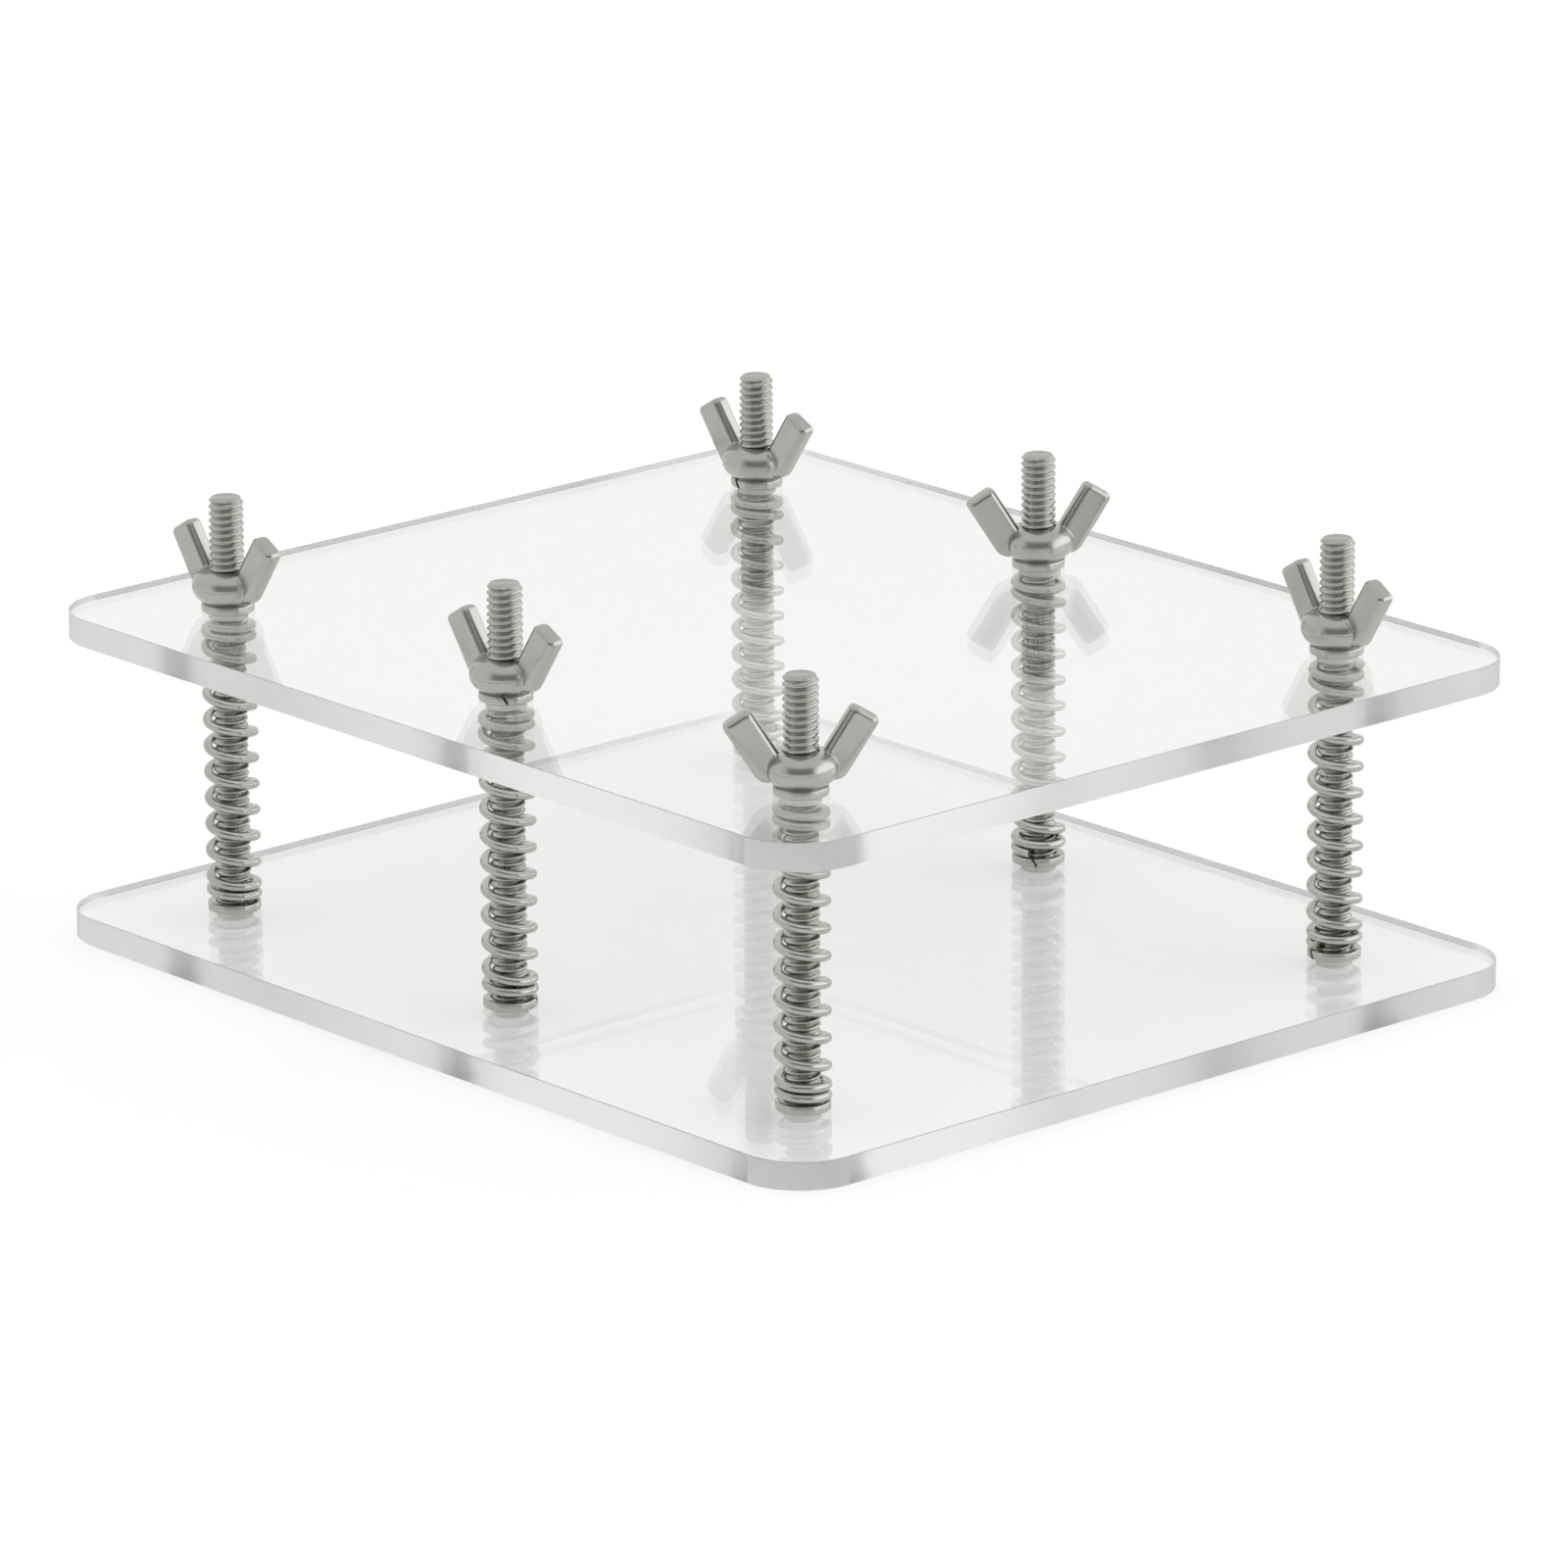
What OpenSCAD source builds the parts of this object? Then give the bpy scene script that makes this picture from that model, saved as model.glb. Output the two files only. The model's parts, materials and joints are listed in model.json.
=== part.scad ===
// A card press: two clear plates drawn together by six studs with wing nuts, and held apart by springs.
// The origin is at the middle of the bottom plate's underside, and X runs along the rows of studs.

/* [Plates] */
// Length of both plates, along the rows of studs
plate_l = 200; // [150:1:320]
// Width of both plates, across the rows
plate_w = 170; // [110:1:260]
// Thickness of both plates
plate_t = 5; // [3:0.5:10]
// Radius of the plates' corners
corner_r = 12; // [4:1:20]
// Open height between the plates
opening_h = 50; // [30:1:70]

/* [Studs] */
// Outside diameter of a stud's thread
stud_d = 6.2; // [4:0.1:8]
// Distance of the outer studs from the plates' ends
inset_x = 24; // [14:1:40]
// Distance of both rows from the plates' long sides
inset_y = 23; // [14:1:40]
// Length of bare thread above a wing nut's hub
stud_reach = 13.1; // [8:0.1:30]
// Chamfer at a stud's tip
stud_chamfer = 0.6; // [0.2:0.1:1.2]

/* [Springs] */
// Diameter of the wire
wire_d = 1.7; // [1:0.1:2.2]
// Rise of one open coil
coil_pitch = 4.8; // [3.6:0.1:8]
// Turns that are wound close at each end
closed_turns = 0.75; // [0.5:0.05:0.9]
// Gap that the close turns leave
closed_gap = 0.45; // [0.45:0.01:0.8]

/* [Washers] */
// Width of a lock washer's ring
washer_w = 1.5; // [1:0.1:3]
// Thickness of a lock washer
washer_t = 1.6; // [0.8:0.1:3]
// Width of the split in a lock washer
split_w = 0.5; // [0.3:0.1:1]
// Slant of the split, away from upright
split_slant = 30; // [0:1:40]

/* [Wing nuts] */
// Wall of the hub round its bore, where the hub is widest
hub_wall = 3.15; // [2.2:0.05:5]
// Wall of the hub round its bore, at the seat
seat_wall = 1.35; // [0.6:0.05:2]
// Height of the hub
hub_h = 5.9; // [4:0.1:8]
// Radius of the hub's round side
hub_round = 2.8; // [1.5:0.1:3.5]
// Width of a wing, seen from its flat side
wing_w = 5.6; // [3.6:0.1:7]
// Thickness of a wing
wing_t = 3.6; // [2.4:0.1:5]
// Length of a wing from its root in the hub
wing_l = 10.4; // [7:0.1:16]
// Lean of a wing, away from upright
wing_lean = 32; // [20:1:50]
// Depth of a wing's root inside the hub's side
wing_sink = 0.8; // [0.4:0.1:1.5]
// Height of a wing's root above the nut's seat
wing_lift = 0.6; // [0.2:0.05:1.5]
// Rounding of the corners at a wing's end
wing_corner = 1.2; // [0.3:0.1:1.6]

/* [Clearances] */
// Round a stud in the bottom plate
stud_fit = 0.02; // [0.01:0.01:0.1]
// Round a stud in the top plate, which slides on it
guide_fit = 0.4; // [0.2:0.05:1]
// Round a stud in a wing nut
nut_fit = 0.05; // [0.02:0.01:0.1]
// Round a stud in a lock washer
washer_fit = 0.15; // [0.05:0.05:0.4]
// Round a stud in a spring
spring_fit = 0.05; // [0.05:0.05:0.4]
// Between a spring's end and what it presses on
spring_seat = 0.05; // [0.05:0.05:0.2]

/* [Hidden] */
places = ["front_left", "front_mid", "front_right", "rear_left", "rear_mid", "rear_right"];
kinds = ["stud", "seat_washer", "spring", "nut_washer", "wing_nut"];

// How far each place's nut is turned from X, and where its spring's wire starts
nut_turns = [3, 4, 57, 7, 61, -2];
wire_starts = [300, 344, 216, 168, 104, 72];
// How far each place's washers are turned, so that the splits don't line up
split_turns = [200, 40, 150, 90, 310, 260];

round_sides = 64;
// Cutters run this far past what they cut
over = 1;
column_x = plate_l/2 - inset_x;
row_y = plate_w/2 - inset_y;
posts = [for (y = [-row_y, row_y]) for (x = [-column_x, 0, column_x]) [x, y]];

// Heights, from the bottom plate's underside up
top_plate_z = plate_t + opening_h;
nut_washer_z = top_plate_z + plate_t;
nut_z = nut_washer_z + washer_t;
stud_l = nut_z + hub_h + stud_reach;

// Wing nut
nut_bore_r = stud_d/2 + nut_fit;
hub_r = nut_bore_r + hub_wall;
seat_r = nut_bore_r + seat_wall;
ball_r = min(hub_round, hub_h/2 - 0.1, hub_r - nut_bore_r);
wing_root_r = hub_r - wing_sink;
wing_root_z = wing_lift + wing_w/2;
nut_h = wing_root_z + wing_l + wing_w;

// Spring: heights of the wire's middle, and turns
wire_low = plate_t + washer_t + spring_seat + wire_d/2;
wire_high = top_plate_z - spring_seat - wire_d/2;
closed_pitch = wire_d + closed_gap;
closed_rise = closed_turns*closed_pitch;
open_turns = (wire_high - wire_low - 2*closed_rise)/coil_pitch;
spring_turns = open_turns + 2*closed_turns;
// The wire has six sides, a flat one towards the stud, and eight rings in a turn
wire_sides = 6;
turn_rings = 8;
wire_flat = wire_d/2*cos(180/wire_sides);
coil_r = (stud_d/2 + spring_fit + wire_flat)/cos(180/turn_rings);
ring_count = round(spring_turns*turn_rings);

acrylic = [0.93, 0.94, 0.95, 0.45];
steel = [0.72, 0.71, 0.69];

module at_post(i, z) {
    translate([posts[i].x, posts[i].y, z]) children();
}

module plate_outline() {
    square([plate_l - 2*corner_r, plate_w], center = true);
    square([plate_l, plate_w - 2*corner_r], center = true);
    for (x = [-1, 1], y = [-1, 1])
        translate([x*(plate_l/2 - corner_r), y*(plate_w/2 - corner_r)]) circle(corner_r, $fn = round_sides);
}

module drilled_plate(hole_d) {
    color(acrylic)
        difference() {
            linear_extrude(plate_t) plate_outline();
            for (i = [0:len(posts) - 1])
                at_post(i, -over) cylinder(d = hole_d, h = plate_t + 2*over, $fn = round_sides);
        }
}

module bottom_plate() {
    drilled_plate(stud_d + 2*stud_fit);
}

module top_plate() {
    translate([0, 0, top_plate_z]) drilled_plate(stud_d + 2*guide_fit);
}

module stud(i) {
    color(steel)
        at_post(i, 0) {
            cylinder(d = stud_d, h = stud_l - stud_chamfer, $fn = round_sides);
            translate([0, 0, stud_l - stud_chamfer])
                cylinder(d1 = stud_d, d2 = stud_d - 2*stud_chamfer, h = stud_chamfer, $fn = round_sides);
        }
}

module lock_washer() {
    bore_r = stud_d/2 + washer_fit;
    ring_r = bore_r + washer_w;
    color(steel)
        difference() {
            cylinder(r = ring_r, h = washer_t, $fn = round_sides);
            translate([0, 0, -over]) cylinder(r = bore_r, h = washer_t + 2*over, $fn = round_sides);
            translate([ring_r, 0, washer_t/2]) rotate([split_slant, 0, 0])
                cube([2*ring_r, split_w, 4*washer_t], center = true);
        }
}

module seat_washer(i) {
    at_post(i, plate_t) rotate(split_turns[i]) lock_washer();
}

module nut_washer(i) {
    at_post(i, nut_washer_z) rotate(-split_turns[i]) lock_washer();
}

// Height of the wire's middle after so many turns
function wire_z(turn) =
    turn < closed_turns ? wire_low + turn*closed_pitch :
    turn < closed_turns + open_turns ? wire_low + closed_rise + (turn - closed_turns)*coil_pitch :
    wire_high - (spring_turns - turn)*closed_pitch;

// One ring of the left-hand wire after so many turns, moved along the wire by run
function wire_ring(turn, run) =
    let (a = -360*turn)
    [for (j = [0:wire_sides - 1])
        let (b = 360*(j + 0.5)/wire_sides, r = coil_r + wire_d/2*cos(b))
        [r*cos(a) + run*sin(a), r*sin(a) - run*cos(a), wire_z(turn) + wire_d/2*sin(b)]];

// Both ends run straight for one diameter of the wire
wire_rings = concat(
    [wire_ring(0, -wire_d)],
    [for (k = [0:ring_count]) wire_ring(spring_turns*k/ring_count, 0)],
    [wire_ring(spring_turns, wire_d)]);
wire_last = len(wire_rings) - 1;

function wire_corner(ring, side) = ring*wire_sides + side%wire_sides;

wire_faces = concat(
    [for (k = [0:wire_last - 1], j = [0:wire_sides - 1])
        each [[wire_corner(k, j), wire_corner(k + 1, j + 1), wire_corner(k + 1, j)],
            [wire_corner(k, j), wire_corner(k, j + 1), wire_corner(k + 1, j + 1)]]],
    [for (j = [1:wire_sides - 2])
        each [[wire_corner(0, 0), wire_corner(0, j + 1), wire_corner(0, j)],
            [wire_corner(wire_last, 0), wire_corner(wire_last, j), wire_corner(wire_last, j + 1)]]]);

// Least distance between corners of rings that are half a turn or more apart
wire_gap = min([for (k = [0:wire_last]) for (n = [k + turn_rings/2:min(k + 2*turn_rings, wire_last)])
    for (p = wire_rings[k]) min([for (q = wire_rings[n]) norm(p - q)])]);
echo(str("Least gap of a spring to itself, in mm: ", wire_gap));

module spring(i) {
    color(steel)
        at_post(i, 0) rotate(wire_starts[i])
            polyhedron([for (ring = wire_rings) each ring], wire_faces);
}

module hub_outline() {
    translate([hub_r - ball_r, hub_h - ball_r]) circle(ball_r, $fn = round_sides);
    square([hub_r - ball_r, hub_h]);
    square([seat_r, hub_h - ball_r]);
}

module wing_outline() {
    circle(d = wing_w, $fn = round_sides);
    translate([-wing_w/2, 0]) square([wing_w, wing_l - wing_corner]);
    translate([wing_corner - wing_w/2, 0]) square([wing_w - 2*wing_corner, wing_l]);
    for (side = [-1, 1])
        translate([side*(wing_w/2 - wing_corner), wing_l - wing_corner]) circle(wing_corner, $fn = round_sides);
}

module wing() {
    rotate([90, 0, 0])
        linear_extrude(wing_t, center = true)
            translate([wing_root_r, wing_root_z]) rotate(-wing_lean) wing_outline();
}

module wing_nut(i) {
    color(steel)
        at_post(i, nut_z) rotate(nut_turns[i])
            difference() {
                union() {
                    rotate_extrude($fn = round_sides) hub_outline();
                    for (side = [0, 180]) rotate(side) wing();
                }
                translate([0, 0, -over]) cylinder(r = nut_bore_r, h = nut_h + 2*over, $fn = round_sides);
            }
}

bottom_plate();
top_plate();
for (i = [0:len(places) - 1]) {
    stud(i);
    seat_washer(i);
    spring(i);
    nut_washer(i);
    wing_nut(i);
}
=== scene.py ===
import bpy
import json
import math
from mathutils import Matrix, Vector


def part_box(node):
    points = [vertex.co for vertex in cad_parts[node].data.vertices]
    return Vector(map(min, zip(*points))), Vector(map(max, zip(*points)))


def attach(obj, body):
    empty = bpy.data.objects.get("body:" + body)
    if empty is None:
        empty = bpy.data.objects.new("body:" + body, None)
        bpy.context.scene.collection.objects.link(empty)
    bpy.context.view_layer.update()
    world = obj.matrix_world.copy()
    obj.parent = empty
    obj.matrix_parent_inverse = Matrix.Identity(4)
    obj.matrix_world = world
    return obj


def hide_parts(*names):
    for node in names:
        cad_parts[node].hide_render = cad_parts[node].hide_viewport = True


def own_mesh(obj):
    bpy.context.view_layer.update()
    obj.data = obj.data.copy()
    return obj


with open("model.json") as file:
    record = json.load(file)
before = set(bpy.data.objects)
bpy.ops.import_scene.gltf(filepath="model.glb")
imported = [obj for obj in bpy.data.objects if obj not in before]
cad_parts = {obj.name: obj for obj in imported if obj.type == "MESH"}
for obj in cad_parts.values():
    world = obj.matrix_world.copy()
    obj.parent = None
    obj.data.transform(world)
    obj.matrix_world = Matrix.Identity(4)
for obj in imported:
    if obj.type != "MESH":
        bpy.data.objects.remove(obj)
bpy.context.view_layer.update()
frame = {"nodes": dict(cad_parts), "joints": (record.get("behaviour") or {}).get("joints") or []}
mm = 0.001
mergeGap = 0.002*mm  # vertices closer than this become one
seamGap = 0.001*mm  # the same, where a swept form closes
sliceGap = 0.0001*mm  # and where a thread is cut off
nearly = 0.01*mm
places = sorted(name[len("stud_"):] for name in frame["nodes"] if name.startswith("stud_"))
print("frame loaded:", len(frame["nodes"]), "nodes at", len(places), "places")


# Helpers for modelling

def clearSelection():
    if bpy.context.object and bpy.context.object.mode != "OBJECT":
        bpy.ops.object.mode_set(mode="OBJECT")
    bpy.ops.object.select_all(action="DESELECT")


def pick(piece):
    clearSelection()
    piece.select_set(True)
    bpy.context.view_layer.objects.active = piece


def useModifier(piece, kind, **settings):
    pick(piece)
    modifier = piece.modifiers.new(kind.lower(), kind)
    for key, value in settings.items():
        setattr(modifier, key, value)
    bpy.ops.object.modifier_apply(modifier=modifier.name)


def settlePlace(piece):
    pick(piece)
    bpy.ops.object.transform_apply(location=True, rotation=True, scale=True)


def mendMesh(piece):  # one skin, with its faces outwards
    pick(piece)
    bpy.ops.object.mode_set(mode="EDIT")
    bpy.ops.mesh.select_all(action="SELECT")
    bpy.ops.mesh.remove_doubles(threshold=mergeGap)
    bpy.ops.mesh.normals_make_consistent(inside=False)
    bpy.ops.object.mode_set(mode="OBJECT")


def smoothTo(piece, degrees):
    pick(piece)
    bpy.ops.object.shade_smooth_by_angle(angle=math.radians(degrees))


def drawProfile(name, points):  # points are (radius, height) in mm, drawn by extruding one vertex
    clearSelection()
    corners = [Vector((radius, 0, height))*mm for radius, height in points]
    bpy.ops.mesh.primitive_plane_add(size=mm, location=corners[0])
    bpy.ops.object.mode_set(mode="EDIT")
    bpy.ops.mesh.select_mode(type="VERT")
    bpy.ops.mesh.select_all(action="SELECT")
    bpy.ops.mesh.merge(type="CENTER")
    for start, end in zip(corners, corners[1:]):
        bpy.ops.mesh.extrude_region_move(TRANSFORM_OT_translate={"value": end - start})
    bpy.ops.object.mode_set(mode="OBJECT")
    profile = bpy.context.object
    profile.name = name
    settlePlace(profile)
    return profile


def sweep(profile, sides, rise=0, rounds=1):  # round the Z axis, climbing by rise in each round
    useModifier(profile, "SCREW", axis="Z", angle=2*math.pi, screw_offset=rise, steps=sides,
                render_steps=sides, iterations=rounds, use_merge_vertices=True, merge_threshold=seamGap)
    mendMesh(profile)


def carve(piece, tool):
    useModifier(piece, "BOOLEAN", operation="DIFFERENCE", object=tool, solver="EXACT")
    bpy.data.objects.remove(tool)


def bevelEdges(piece, wanted, width, steps):  # wanted takes an edge's two ends
    pick(piece)
    bpy.ops.object.mode_set(mode="EDIT")
    bpy.ops.mesh.select_mode(type="EDGE")
    bpy.ops.mesh.select_all(action="DESELECT")
    bpy.ops.object.mode_set(mode="OBJECT")
    for edge in piece.data.edges:
        ends = [piece.data.vertices[index].co for index in edge.vertices]
        edge.select = wanted(*ends)
    bpy.ops.object.mode_set(mode="EDIT")
    bpy.ops.mesh.bevel(offset=width, segments=steps, affect="EDGES")
    bpy.ops.object.mode_set(mode="OBJECT")


def arcPoints(centre, radius, first, last, count):
    angles = [math.radians(first + (last - first)*k/count) for k in range(count + 1)]
    return [(centre[0] + radius*math.cos(a), centre[1] + radius*math.sin(a)) for a in angles]


def postOf(place):
    low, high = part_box("stud_" + place)
    return (Vector(low) + Vector(high))/2


def copyTo(piece, name, spot, turn):  # a copy with its own mesh, its place in the mesh
    twin = piece.copy()
    twin.data = piece.data.copy()
    twin.name = name
    bpy.context.scene.collection.objects.link(twin)
    twin.data.transform(Matrix.Translation(spot) @ Matrix.Rotation(turn, 4, "Z"))
    return twin


def handOver(piece, node, body, finish):
    piece.data.materials.clear()
    piece.data.materials.append(finish)
    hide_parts(node)
    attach(piece, body)


# Shader maths as expressions

class Value:
    def __init__(self, tree, socket):
        self.tree = tree
        self.socket = socket

    def mathNode(self, operation, first, second):
        node = self.tree.nodes.new("ShaderNodeMath")
        node.operation = operation
        feed(self.tree, node.inputs[0], first)
        feed(self.tree, node.inputs[1], second)
        return Value(self.tree, node.outputs[0])

    def __add__(self, other):
        return self.mathNode("ADD", self, other)

    def __sub__(self, other):
        return self.mathNode("SUBTRACT", self, other)

    def __rsub__(self, other):
        return self.mathNode("SUBTRACT", other, self)

    def __mul__(self, other):
        return self.mathNode("MULTIPLY", self, other)

    __radd__ = __add__
    __rmul__ = __mul__


def feed(tree, socket, value):
    if isinstance(value, Value):
        tree.links.new(value.socket, socket)
    else:
        socket.default_value = value


class Finish:
    def __init__(self, owner):
        owner.use_nodes = True
        self.owner = owner
        self.tree = owner.node_tree

    def node(self, kind, settings, inputs, output=0):
        node = self.tree.nodes.new("ShaderNode" + kind)
        for key, value in settings.items():
            setattr(node, key, value)
        for key, value in inputs.items():
            feed(self.tree, node.inputs[key], value)
        return Value(self.tree, node.outputs[output])

    def noise(self, spot, scale, detail):
        return self.node("TexNoise", {}, {"Vector": spot, "Scale": scale, "Detail": detail})

    def bump(self, height, strength, distance):
        return self.node("Bump", {}, {"Height": height, "Strength": strength, "Distance": distance})

    def shade(self, inputs):
        shader = self.tree.nodes["Principled BSDF"]
        for key, value in inputs.items():
            feed(self.tree, shader.inputs[key], value)


# Materials

# sawn, turned, broken and drilled are the roughness of straight edges, round corners, rims and holes,
# frost is the share of white that a drilled wall shows, and depth is how fast light is lost inside
acrylic = dict(tint=(0.99, 0.995, 0.99, 1), ior=1.49, depth=0.15, depthTint=(0.05, 0.08, 0, 1),
               smudge=0.02, smudgeScale=45, smudgeDetail=5.0,
               wave=0.01, waveScale=30, waveDetail=1.0, waveDepth=0.5*mm,
               sawn=0.35, turned=0.8, broken=0.3, drilled=0.45,
               frost=0.9, frostColour=(0.95, 0.96, 0.95, 1))


def acrylicFinish(name):
    finish = Finish(bpy.data.materials.new(name))
    spot = finish.node("TexCoord", {}, {}, "Object")
    smudge = finish.noise(spot, acrylic["smudgeScale"], acrylic["smudgeDetail"])
    wave = finish.noise(spot, acrylic["waveScale"], acrylic["waveDetail"])
    bump = finish.bump(wave, acrylic["wave"], acrylic["waveDepth"])
    cut = finish.node("Attribute", {"attribute_name": "cut"}, {}, "Fac")
    frost = finish.node("Attribute", {"attribute_name": "frost"}, {}, "Fac")
    finish.shade({"Base Color": acrylic["tint"], "Transmission Weight": 1.0, "IOR": acrylic["ior"],
                  "Roughness": acrylic["smudge"]*(smudge*smudge*smudge) + cut, "Normal": bump})
    white = finish.node("BsdfDiffuse", {}, {"Color": acrylic["frostColour"], "Normal": bump})
    clear = Value(finish.tree, finish.tree.nodes["Principled BSDF"].outputs[0])
    skin = finish.node("MixShader", {}, {0: frost, 1: clear, 2: white})
    loss = finish.node("VolumeAbsorption", {},
                       {"Color": acrylic["depthTint"], "Density": acrylic["depth"]})
    output = finish.tree.nodes["Material Output"]
    feed(finish.tree, output.inputs["Surface"], skin)
    feed(finish.tree, output.inputs["Volume"], loss)
    return finish.owner


metals = {  # zinc plate and bare wire, clouded and finely grained
    "studPlate": dict(light=(0.54, 0.54, 0.5, 1), dark=(0.44, 0.44, 0.405, 1),
                      rough=0.26, roughVary=0.14, cloudScale=260, grainScale=2600, bump=0.05),
    "springPlate": dict(light=(0.54, 0.54, 0.5, 1), dark=(0.44, 0.44, 0.405, 1),
                        rough=0.16, roughVary=0.12, cloudScale=300, grainScale=3000, bump=0.04),
    "washerPlate": dict(light=(0.53, 0.53, 0.49, 1), dark=(0.43, 0.43, 0.395, 1),
                        rough=0.18, roughVary=0.14, cloudScale=300, grainScale=2600, bump=0.05),
    "nutPlate": dict(light=(0.53, 0.53, 0.505, 1), dark=(0.44, 0.44, 0.415, 1),
                     rough=0.2, roughVary=0.16, cloudScale=220, grainScale=1400, bump=0.08),
}
metalGrain = dict(cloudDetail=4.0, grainDetail=3.0, depth=0.1*mm, mean=0.25)  # mean of cloud times grain


def metalFinish(name):
    look = metals[name]
    finish = Finish(bpy.data.materials.new(name))
    spot = finish.node("TexCoord", {}, {}, "Object")
    cloud = finish.noise(spot, look["cloudScale"], metalGrain["cloudDetail"])
    grain = finish.noise(spot, look["grainScale"], metalGrain["grainDetail"])
    colour = finish.node("Mix", {"data_type": "RGBA"}, {0: cloud, 6: look["dark"], 7: look["light"]}, 2)
    bump = finish.bump(grain, look["bump"], metalGrain["depth"])
    finish.shade({"Base Color": colour, "Metallic": 1.0, "Normal": bump,
                  "Roughness": look["rough"] + look["roughVary"]*(grain*cloud - metalGrain["mean"])})
    return finish.owner


finishes = {name: metalFinish(name) for name in metals}
finishes["clearAcrylic"] = acrylicFinish("clearAcrylic")
print("finishes made:", len(finishes))


# Plates

# a face is square to an axis, or upright, by its normal's share along that axis or along Z
plate = dict(cornerRadius=12*mm, cornerSteps=20, rim=0.12*mm, rimSteps=3, smooth=35,
             holeSides=64, bottomHole=3.16*mm, topHole=3.5*mm, holeSlack=0.05*mm,
             square=0.9999, upright=0.05)


def markCuts(piece, posts, reach):  # how each face was cut, for the material
    for attribute in ("cut", "frost"):
        piece.data.attributes.new(attribute, "FLOAT", "FACE")
    cut, frost = [piece.data.attributes[attribute].data for attribute in ("cut", "frost")]
    square, upright = plate["square"], plate["upright"]
    for face in piece.data.polygons:
        along = [abs(part) for part in face.normal]
        if min((face.center - post).xy.length for post in posts) < reach:
            cut[face.index].value = acrylic["drilled"]
            frost[face.index].value = acrylic["frost"]
        elif upright < along[2] < square:
            cut[face.index].value = acrylic["broken"]
        elif along[2] < upright:
            cut[face.index].value = acrylic["sawn" if max(along[:2]) > square else "turned"]
        face.use_smooth = max(along) < square  # broad faces stay flat: only rims and corners bend light


def makePlate(name, node, body, holeRadius):
    low, high = [Vector(corner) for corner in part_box(node)]
    clearSelection()
    bpy.ops.mesh.primitive_cube_add(size=1, location=(low + high)/2)
    piece = bpy.context.object
    piece.name = name
    piece.scale = high - low
    settlePlace(piece)
    thick = (high - low).z
    bevelEdges(piece, lambda a, b: abs(a.z - b.z) > thick/2, plate["cornerRadius"], plate["cornerSteps"])
    bevelEdges(piece, lambda a, b: abs(a.z - b.z) < thick/2, plate["rim"], plate["rimSteps"])
    posts = [postOf(place) for place in places]
    for post in posts:
        clearSelection()
        bpy.ops.mesh.primitive_cylinder_add(radius=holeRadius, depth=4*thick, vertices=plate["holeSides"],
                                            location=(post.x, post.y, (low + high).z/2))
        carve(piece, bpy.context.object)
    mendMesh(piece)
    smoothTo(piece, plate["smooth"])
    markCuts(piece, posts, holeRadius + plate["holeSlack"])
    piece.visible_shadow = False  # light passes through it to the floor
    handOver(piece, node, body, finishes["clearAcrylic"])


makePlate("bottomPlate", "bottom_plate", "base", plate["bottomHole"])
makePlate("topPlate", "top_plate", "press plate", plate["topHole"])
print("plates made")


# Studs, with a right-hand thread

stud = dict(pitch=1.27, crest=3.1, root=2.58, fullness=0.75, toothSteps=10, sides=40, spareTurns=2,
            chamfer=0.6, smooth=60)


def makeStud():
    low, high = [Vector(corner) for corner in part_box("stud_" + places[0])]
    length = (high - low).z
    pitch, crest, root = stud["pitch"], stud["crest"], stud["root"]
    tooth = []
    for k in range(stud["toothSteps"] + 1):  # a rolled thread, with round crests and roots
        share = k/stud["toothSteps"]
        lift = (0.5 - 0.5*math.cos(2*math.pi*share))**stud["fullness"]
        tooth.append((root + (crest - root)*lift, (share - 1)*pitch))
    piece = drawProfile("studPattern", tooth)
    sweep(piece, stud["sides"], pitch*mm, math.ceil(length/mm/pitch) + stud["spareTurns"])
    bpy.ops.object.mode_set(mode="EDIT")
    for height, side in ((0, {"clear_inner": True}), (length, {"clear_outer": True})):
        bpy.ops.mesh.select_all(action="SELECT")
        bpy.ops.mesh.bisect(plane_co=(0, 0, height), plane_no=(0, 0, 1), use_fill=True,
                            threshold=sliceGap, **side)
    bpy.ops.object.mode_set(mode="OBJECT")
    shoulder = length - stud["chamfer"]*mm
    for vertex in piece.data.vertices:  # the tip is turned to a cone
        radius = vertex.co.xy.length
        allowed = crest*mm - max(0, vertex.co.z - shoulder)
        if radius > allowed:
            vertex.co.xy *= allowed/radius
    mendMesh(piece)
    smoothTo(piece, stud["smooth"])
    return piece


studPattern = makeStud()
for place in places:
    spot = postOf(place)
    piece = copyTo(studPattern, "stud." + place, Vector((spot.x, spot.y, 0)), 0)
    handOver(piece, "stud_" + place, "base", finishes["studPlate"])
bpy.data.objects.remove(studPattern)
print("studs made")


# Lock washers, split and with soft edges

washer = dict(inner=3.25, outer=4.75, corner=0.35, cornerSteps=4, sides=72, split=0.5, slant=30, smooth=40,
              turns=dict(front_left=200, front_mid=40, front_right=150,
                         rear_left=90, rear_mid=310, rear_right=260))


def makeWasher():
    low, high = [Vector(corner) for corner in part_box("seat_washer_" + places[0])]
    inner, outer, corner, height = washer["inner"], washer["outer"], washer["corner"], (high - low).z/mm
    outline = []
    for r, z, first in ((outer - corner, corner, -90), (outer - corner, height - corner, 0),
                        (inner + corner, height - corner, 90), (inner + corner, corner, 180)):
        outline += arcPoints((r, z), corner, first, first + 90, washer["cornerSteps"])
    piece = drawProfile("washerPattern", outline + outline[:1])
    mendMesh(piece)
    sweep(piece, washer["sides"])
    clearSelection()
    bpy.ops.mesh.primitive_cube_add(size=1, location=Vector((outer, 0, height/2))*mm,
                                    rotation=(math.radians(washer["slant"]), 0, 0))
    blade = bpy.context.object
    blade.scale = Vector((2*outer, washer["split"], 4*height))*mm
    settlePlace(blade)
    carve(piece, blade)
    smoothTo(piece, washer["smooth"])
    return piece


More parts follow.
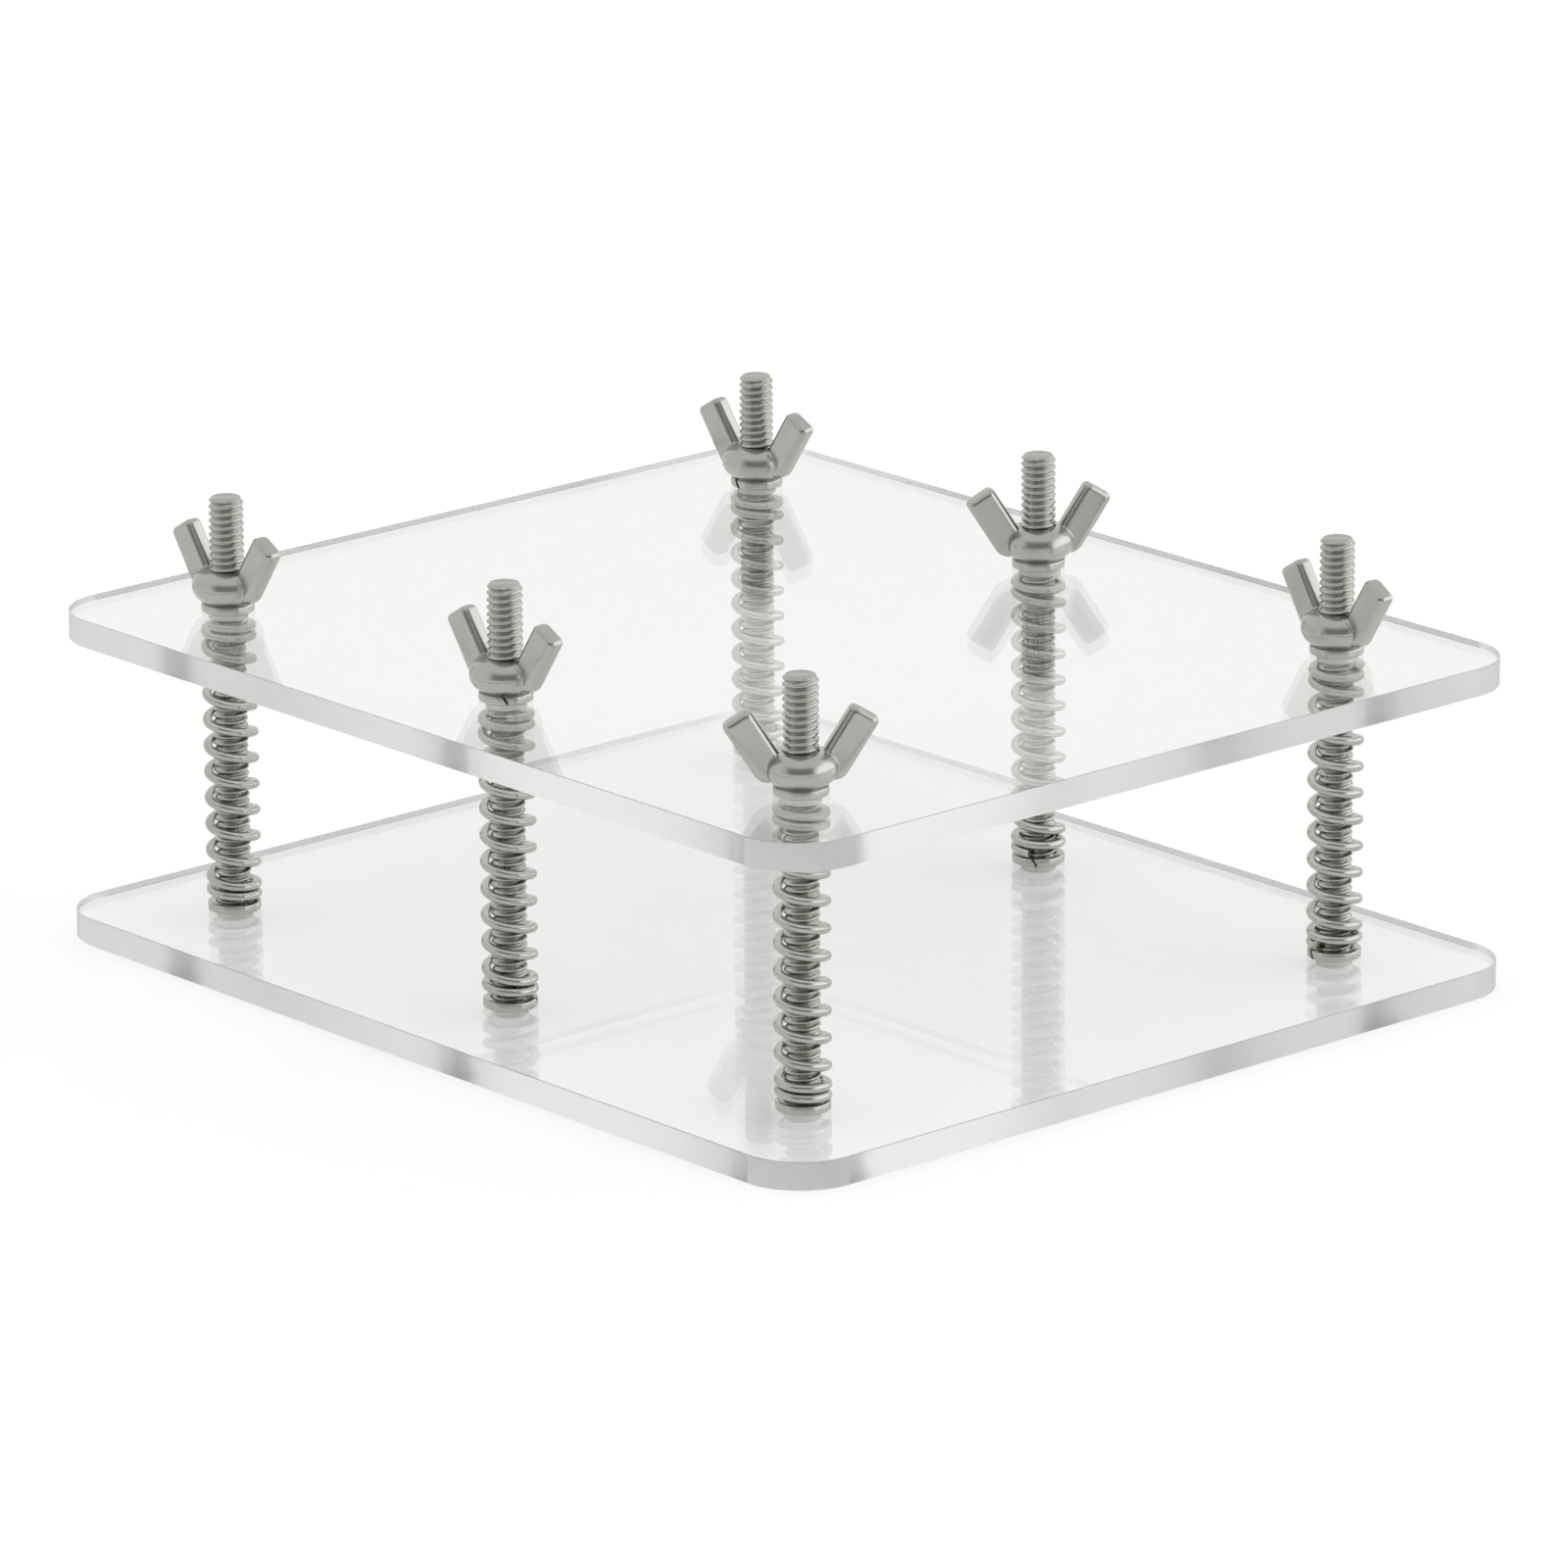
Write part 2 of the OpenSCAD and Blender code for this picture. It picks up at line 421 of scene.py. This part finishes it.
washerPattern = makeWasher()
for place in places:
    for kind, body, way in (("seat_washer_", "base", 1), ("nut_washer_", "press plate", -1)):
        spot = postOf(place)
        seat = Vector((spot.x, spot.y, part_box(kind + place)[0][2]))
        turn = way*math.radians(washer["turns"][place])
        piece = copyTo(washerPattern, kind + place + ".ring", seat, turn)
        handOver(piece, kind + place, body, finishes["washerPlate"])
bpy.data.objects.remove(washerPattern)
print("lock washers made")


# Springs, wound left-handed

spring = dict(wire=1.7, radius=4.1, pitch=4.8, closedTurns=1.5, closedPitch=1.78, easeTurns=0.25,
              stepsPerTurn=40, roundness=5, seat=0.05, smooth=50,
              starts=dict(front_left=131, front_mid=175, front_right=47,
                          rear_left=359, rear_mid=295, rear_right=263))


def coilPitch(turn, turns):  # close at both ends, open between them
    inside = min(turn, turns - turn) - spring["closedTurns"]
    opened = min(1, max(0, inside/spring["easeTurns"] + 0.5))
    return spring["closedPitch"] + (spring["pitch"] - spring["closedPitch"])*opened


def makeSpring(place):
    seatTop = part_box("seat_washer_" + place)[1][2]
    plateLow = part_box("top_plate")[0][2]
    inset = (spring["seat"] + spring["wire"]/2)*mm
    low = seatTop + inset
    rise = plateLow - inset - low
    closed = spring["closedTurns"]*spring["closedPitch"]
    turns = 2*spring["closedTurns"] + (rise/mm - 2*closed)/spring["pitch"]
    count = round(turns*spring["stepsPerTurn"])
    climb = [0]
    for k in range(count):
        climb.append(climb[-1] + coilPitch((k + 0.5)*turns/count, turns))
    post = postOf(place)
    curve = bpy.data.curves.new("spring." + place, "CURVE")
    curve.dimensions = "3D"
    curve.bevel_depth = spring["wire"]/2*mm
    curve.bevel_resolution = spring["roundness"]
    curve.use_fill_caps = True
    coil = curve.splines.new("POLY")
    coil.points.add(count)
    reach = spring["radius"]*mm
    for k, point in enumerate(coil.points):
        angle = math.radians(spring["starts"][place] - 360*turns*k/count)
        height = low + rise*climb[k]/climb[-1]
        point.co = (post.x + reach*math.cos(angle), post.y + reach*math.sin(angle), height, 1)
    piece = bpy.data.objects.new("spring." + place, curve)
    bpy.context.scene.collection.objects.link(piece)
    pick(piece)
    bpy.ops.object.convert(target="MESH")
    piece = bpy.context.object
    mendMesh(piece)
    smoothTo(piece, spring["smooth"])
    handOver(piece, "spring_" + place, "base", finishes["springPlate"])
    travel = next(joint for joint in frame["joints"] if joint["name"] == "plate slide")["range_m"][0]
    length = plateLow - seatTop
    (length + travel)/length
    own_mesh(piece)


for place in places:
    makeSpring(place)
print("springs made")


# Wing nuts: a ball-shaped hub with two leaning wings, cast in one

nut = dict(bore=3.15, seat=4.5, hubHeight=5.9, ballRadius=2.95, ballCentre=(3.35, 2.95), ballSteps=24,
           hubSides=96, wingWidth=5.6, wingThick=3.6, wingLength=10.4, wingRoot=(5.5, 3.4), wingLean=32,
           wingSide=1.3, wingSideSteps=6, wingEnd=1, wingEndSteps=6, rootSides=64, grain=0.16, soften=0.5,
           softenRounds=3, drillLength=60, tipDepth=0.4, smooth=60)


def makeHub():
    centre, radius = nut["ballCentre"], nut["ballRadius"]
    low = -math.degrees(math.acos((nut["seat"] - centre[0])/radius))
    high = math.degrees(math.asin((nut["hubHeight"] - centre[1])/radius))
    outline = [(nut["bore"], 0), (nut["seat"], 0)]
    outline += arcPoints(centre, radius, low, high, nut["ballSteps"])
    outline += [(nut["bore"], nut["hubHeight"]), (nut["bore"], 0)]
    hub = drawProfile("nutPattern", outline)
    mendMesh(hub)
    sweep(hub, nut["hubSides"])
    return hub


def makeWing(turn):  # a bar with round sides, and a round root that sinks into the hub
    width, thick, length = nut["wingWidth"]*mm, nut["wingThick"]*mm, nut["wingLength"]*mm
    clearSelection()
    bpy.ops.mesh.primitive_cube_add(size=1, location=(0, 0, length/2))
    bar = bpy.context.object
    bar.scale = (width, thick, length)
    settlePlace(bar)
    side, sideSteps = nut["wingSide"]*mm, nut["wingSideSteps"]
    bevelEdges(bar, lambda a, b: abs(a.z - b.z) > length/2, side, sideSteps)
    bevelEdges(bar, lambda a, b: min(a.z, b.z) > length - nearly, nut["wingEnd"]*mm, nut["wingEndSteps"])
    clearSelection()
    bpy.ops.mesh.primitive_cylinder_add(radius=width/2, depth=thick, vertices=nut["rootSides"],
                                        rotation=(math.pi/2, 0, 0))
    root = bpy.context.object
    settlePlace(root)
    bevelEdges(root, lambda a, b: abs(a.y + b.y) > thick - nearly, side, sideSteps)
    lean = Matrix.Rotation(math.radians(nut["wingLean"]), 4, "Y")
    spot = Matrix.Translation(Vector((nut["wingRoot"][0], 0, nut["wingRoot"][1]))*mm)
    for form in (bar, root):
        form.data.transform(Matrix.Rotation(turn, 4, "Z") @ spot @ lean)
    return [bar, root]


def makeWingNut():
    piece = makeHub()
    forms = [form for turn in (0, math.pi) for form in makeWing(turn)]
    pick(piece)
    for form in forms:
        form.select_set(True)
    bpy.ops.object.join()
    piece.data.remesh_voxel_size = nut["grain"]*mm  # the casting's one skin
    bpy.ops.object.voxel_remesh()
    useModifier(piece, "SMOOTH", factor=nut["soften"], iterations=nut["softenRounds"])
    clearSelection()
    bpy.ops.mesh.primitive_cylinder_add(radius=nut["bore"]*mm, depth=nut["drillLength"]*mm,
                                        vertices=nut["hubSides"])
    carve(piece, bpy.context.object)
    low = min(vertex.co.z for vertex in piece.data.vertices)
    piece.data.transform(Matrix.Translation((0, 0, -low)))
    smoothTo(piece, nut["smooth"])
    return piece


def wingTurn(place):  # which way the wings point, from the solid itself
    spot = postOf(place)
    solid = frame["nodes"]["wing_nut_" + place].data
    arms = [vertex.co.xy - spot.xy for vertex in solid.vertices]
    tip = max(arm.length for arm in arms)
    far = [arm for arm in arms if arm.length > tip - nut["tipDepth"]*mm]
    double = [2*math.atan2(arm.y, arm.x) for arm in far]  # so that both wings count as one direction
    return math.atan2(sum(map(math.sin, double)), sum(map(math.cos, double)))/2


nutPattern = makeWingNut()
print("wing nut pattern:", len(nutPattern.data.polygons), "faces")
for place in places:
    spot = postOf(place)
    seat = Vector((spot.x, spot.y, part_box("wing_nut_" + place)[0][2]))
    piece = copyTo(nutPattern, "wingNut." + place, seat, wingTurn(place))
    body = "wing nut " + place.replace("_", " ")
    handOver(piece, "wing_nut_" + place, body, finishes["nutPlate"])
bpy.data.objects.remove(nutPattern)
print("wing nuts made")


# Floor, light and camera

# grey and white are levels of the studio's walls, and each blend gives where one turns into the other
studio = dict(bounces=28, floorSize=8, floorDrop=0.2*mm, floorColour=(0.75, 0.75, 0.75, 1), floorRough=0.9,
              floorGlow=0.42, mirrorShare=0.6, throughShare=0.15,
              frontGrey=0.28, backGrey=0.85, leftGrey=0.8, rightWhite=1.6, topWhite=0.8,
              frontBlend=(0.1, 0.75), sideBlend=(0.25, 0.7), leftBlend=(-0.3, 0.3), topBlend=(0.45, 0.85))


def makeFloor():
    clearSelection()
    bpy.ops.mesh.primitive_plane_add(size=studio["floorSize"], location=(0, 0, -studio["floorDrop"]))
    floor = bpy.context.object
    floor.name = "floor"
    finish = Finish(bpy.data.materials.new("paper"))
    ray = finish.node("LightPath", {}, {}, "Is Camera Ray")
    gloss = finish.node("LightPath", {}, {}, "Is Glossy Ray")
    through = finish.node("LightPath", {}, {}, "Is Transmission Ray")
    seen = ray + studio["mirrorShare"]*gloss + studio["throughShare"]*through  # refracted light sets both
    finish.shade({"Base Color": studio["floorColour"], "Roughness": studio["floorRough"],
                  "Specular IOR Level": 0.0, "Emission Color": (1, 1, 1, 1),
                  "Emission Strength": studio["floorGlow"]*seen})
    floor.data.materials.append(finish.owner)


cameraView = dict(azimuth=48.625, elevation=16.779, roll=-0.403, distance=1871.7*mm, lens=245.0,
                  sensor=36, farClip=50, aimAcross=0.896*mm, aimUp=32.058*mm)


def viewAxes():
    azimuth, elevation = math.radians(cameraView["azimuth"]), math.radians(cameraView["elevation"])
    level = math.cos(elevation)
    right = Vector((math.cos(azimuth), math.sin(azimuth), 0))
    back = Vector((level*math.sin(azimuth), -level*math.cos(azimuth), math.sin(elevation)))
    return right, back


def makeCamera():
    right, back = viewAxes()
    up = back.cross(right)
    roll = math.radians(cameraView["roll"])
    across = right*math.cos(roll) + up*math.sin(roll)
    above = up*math.cos(roll) - right*math.sin(roll)
    clearSelection()
    bpy.ops.object.camera_add()
    camera = bpy.context.object
    aim = right*cameraView["aimAcross"] + Vector((0, 0, cameraView["aimUp"]))
    facing = Matrix((across, above, back)).transposed().to_4x4()
    camera.matrix_world = Matrix.Translation(aim + back*cameraView["distance"]) @ facing
    camera.data.lens = cameraView["lens"]
    camera.data.sensor_width = cameraView["sensor"]
    camera.data.clip_end = cameraView["farClip"]
    bpy.context.scene.camera = camera


def makeWorld():
    world = bpy.data.worlds.new("studio")
    bpy.context.scene.world = world
    finish = Finish(world)
    way = finish.node("TexCoord", {}, {}, "Generated")

    def shareOf(axis):
        return finish.node("VectorMath", {"operation": "DOT_PRODUCT"}, {0: way, 1: axis}, "Value")

    def blend(value, span, first=0.0, last=1.0):
        limits = {"From Min": span[0], "From Max": span[1], "To Min": first, "To Max": last}
        return finish.node("MapRange", {"interpolation_type": "SMOOTHSTEP"}, {"Value": value, **limits})

    right, back = viewAxes()
    front = shareOf(Vector((back.x, back.y, 0)).normalized())
    side = shareOf(right)
    height = finish.node("SeparateXYZ", {}, {0: way}, "Z")
    toFront = blend(front, studio["frontBlend"], studio["backGrey"], studio["frontGrey"])
    toSide = blend(side*side, studio["sideBlend"])
    toTop = blend(height, studio["topBlend"])
    sideLevel = blend(side, studio["leftBlend"], studio["leftGrey"], studio["rightWhite"])
    around = toFront*(1 - toSide) + sideLevel*toSide
    level = around*(1 - toTop) + studio["topWhite"]*toTop
    ray = finish.node("LightPath", {}, {}, "Is Camera Ray")
    through = finish.node("LightPath", {}, {}, "Is Transmission Ray")
    seen = ray + through  # the plates show the same white as the background
    backdrop = finish.tree.nodes["Background"]
    feed(finish.tree, backdrop.inputs["Color"], level*(1 - seen) + seen)
    backdrop.inputs["Strength"].default_value = 1.0


bpy.context.scene.view_settings.view_transform = "Standard"
for kind in ("max_bounces", "glossy_bounces", "transmission_bounces"):  # light runs far in the plates
    setattr(bpy.context.scene.cycles, kind, studio["bounces"])
makeFloor()
makeCamera()
makeWorld()
clearSelection()
print("studio made")
